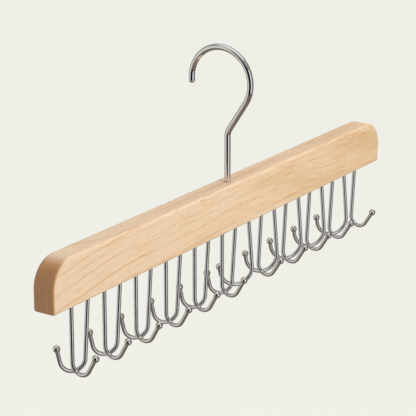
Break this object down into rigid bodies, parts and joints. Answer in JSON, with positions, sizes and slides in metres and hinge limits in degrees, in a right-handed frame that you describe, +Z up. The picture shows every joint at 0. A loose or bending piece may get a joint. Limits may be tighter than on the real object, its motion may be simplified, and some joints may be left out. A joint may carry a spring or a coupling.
{
  "type": "tie hanger",
  "caption": "Tie hanger: straight wooden bar with rounded upper corners on a swivelling wire hook, and a row of ball-tipped J-shaped wire hooks under it, facing front and back.",
  "frame": {"origin": "highest point inside the swivel hook's crook, where the closet rod bears, on the rod side of the wire", "axes": "+X along the wooden bar, to the right as seen from the front; +Y to the back; +Z up. The closet rod lies along X, and -Y is the side that the crook bulges to"},
  "size_m": [0.4, 0.0524, 0.1768],
  "materials": {
    "bar_wood": "satin clear varnish over pale hardwood",
    "hook_chrome": "polished plating",
    "tie_hook_chrome": "polished plating",
    "ball_chrome": "polished plating",
    "washer_steel": "plain zinc-plated steel"
  },
  "bodies": {
    "hook": {"swivel_hook": "hook_chrome"},
    "bar": {"wood_bar": "bar_wood", "hook_washer": "washer_steel", "tie_hook_01": "tie_hook_chrome", "tie_hook_02": "tie_hook_chrome", "tie_hook_03": "tie_hook_chrome", "tie_hook_04": "tie_hook_chrome", "tie_hook_05": "tie_hook_chrome", "tie_hook_06": "tie_hook_chrome", "tie_hook_07": "tie_hook_chrome", "tie_hook_08": "tie_hook_chrome", "tie_hook_09": "tie_hook_chrome", "tie_hook_10": "tie_hook_chrome", "tie_hook_11": "tie_hook_chrome", "tie_hook_12": "tie_hook_chrome", "tie_hook_13": "tie_hook_chrome", "tie_hook_14": "tie_hook_chrome", "tie_hook_15": "tie_hook_chrome", "tie_hook_16": "tie_hook_chrome", "tie_hook_17": "tie_hook_chrome", "tie_hook_18": "tie_hook_chrome", "tie_hook_19": "tie_hook_chrome", "tie_hook_20": "tie_hook_chrome", "tie_hook_21": "tie_hook_chrome", "tie_hook_22": "tie_hook_chrome", "ball_tip_01": "ball_chrome", "ball_tip_02": "ball_chrome", "ball_tip_03": "ball_chrome", "ball_tip_04": "ball_chrome", "ball_tip_05": "ball_chrome", "ball_tip_06": "ball_chrome", "ball_tip_07": "ball_chrome", "ball_tip_08": "ball_chrome", "ball_tip_09": "ball_chrome", "ball_tip_10": "ball_chrome", "ball_tip_11": "ball_chrome", "ball_tip_12": "ball_chrome", "ball_tip_13": "ball_chrome", "ball_tip_14": "ball_chrome", "ball_tip_15": "ball_chrome", "ball_tip_16": "ball_chrome", "ball_tip_17": "ball_chrome", "ball_tip_18": "ball_chrome", "ball_tip_19": "ball_chrome", "ball_tip_20": "ball_chrome", "ball_tip_21": "ball_chrome", "ball_tip_22": "ball_chrome"}
  },
  "joints": [
    {"name": "bar_swivel", "type": "hinge", "parent": "hook", "child": "bar", "pos_m": [0, -0.0055, -0.0896], "axis": [0, 0, 1], "continuous": true}
  ]
}
